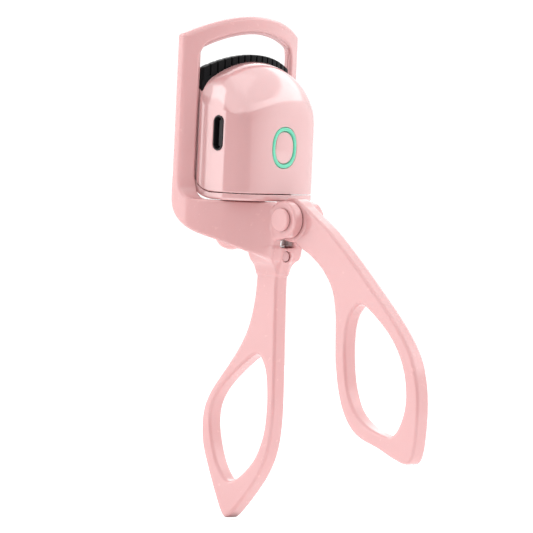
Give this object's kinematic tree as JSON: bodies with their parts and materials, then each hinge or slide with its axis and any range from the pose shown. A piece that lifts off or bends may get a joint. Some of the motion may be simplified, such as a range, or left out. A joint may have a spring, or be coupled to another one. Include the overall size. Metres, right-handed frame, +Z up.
{
  "type": "heated eyelash curler",
  "caption": "Scissor-style heated eyelash curler: a bowed clamp frame with a fixed loop handle, and a lever handle that lifts a battery-powered heating comb to the bar.",
  "frame": {"origin": "bottom centre of the box around the whole curler at rest, with its handles open", "axes": "+X across the jaws, away from the side with the charging port; +Y back towards the user's face; +Z up along the frame's legs"},
  "size_m": [0.0414, 0.0778, 0.1288],
  "materials": {
    "frame_pink": "satin",
    "handle_pink": "satin",
    "shell_pink": "glossy",
    "plug_pink": "satin",
    "pad_silicone": "matte",
    "comb_black": "black anodised",
    "strip_film": "heater film",
    "holder_grey": "heat-resistant",
    "chassis_white": "matte",
    "battery_foil": "foil",
    "lead_red": "matte",
    "lead_white": "matte",
    "board_green": "solder mask",
    "black_plastic": "matte",
    "led": "clear",
    "ring_mint": "translucent light guide",
    "steel": "satin"
  },
  "bodies": {
    "frame": {"frame": "frame_pink", "lash_pad": "pad_silicone", "pivot_pin": "handle_pink", "pivot_cap": "handle_pink", "root_plug": "plug_pink"},
    "lever": {"lever_handle": "handle_pink"},
    "head": {"head_shell": "shell_pink", "rear_cover": "shell_pink", "base_cap": "shell_pink", "drive_pin": "steel", "cover_screws": "steel", "base_screws": "steel", "heating_comb": "comb_black", "heating_strip": "strip_film", "heater_holder": "holder_grey", "temperature_sensor": "black_plastic", "heater_leads": "lead_white", "inner_chassis": "chassis_white", "battery": "battery_foil", "battery_leads": "lead_red", "circuit_board": "board_green", "board_screws": "steel", "control_chip": "black_plastic", "indicator_leds": "led", "switch_body": "black_plastic", "usb_shell": "black_plastic", "usb_tongue": "black_plastic", "light_ring": "ring_mint"},
    "button": {"power_button": "shell_pink", "switch_plunger": "chassis_white"}
  },
  "joints": [
    {"name": "lever_pivot", "type": "hinge", "parent": "frame", "child": "lever", "pos_m": [0, 0.00979, 0.0775], "axis": [1, 0, 0], "range_deg": [0, 13.5]},
    {"name": "head_slide", "type": "slide", "parent": "frame", "child": "head", "axis": [0, 0, 1], "range_m": [0, 0.00522]},
    {"name": "button_press", "type": "slide", "parent": "head", "child": "button", "axis": [0, 1, 0], "range_m": [0, 0.0004], "stiffness_N_per_m": 600}
  ],
  "couplings": [
    {"joint": "head_slide", "follows": "lever_pivot", "m_per_rad": 0.022118}
  ]
}
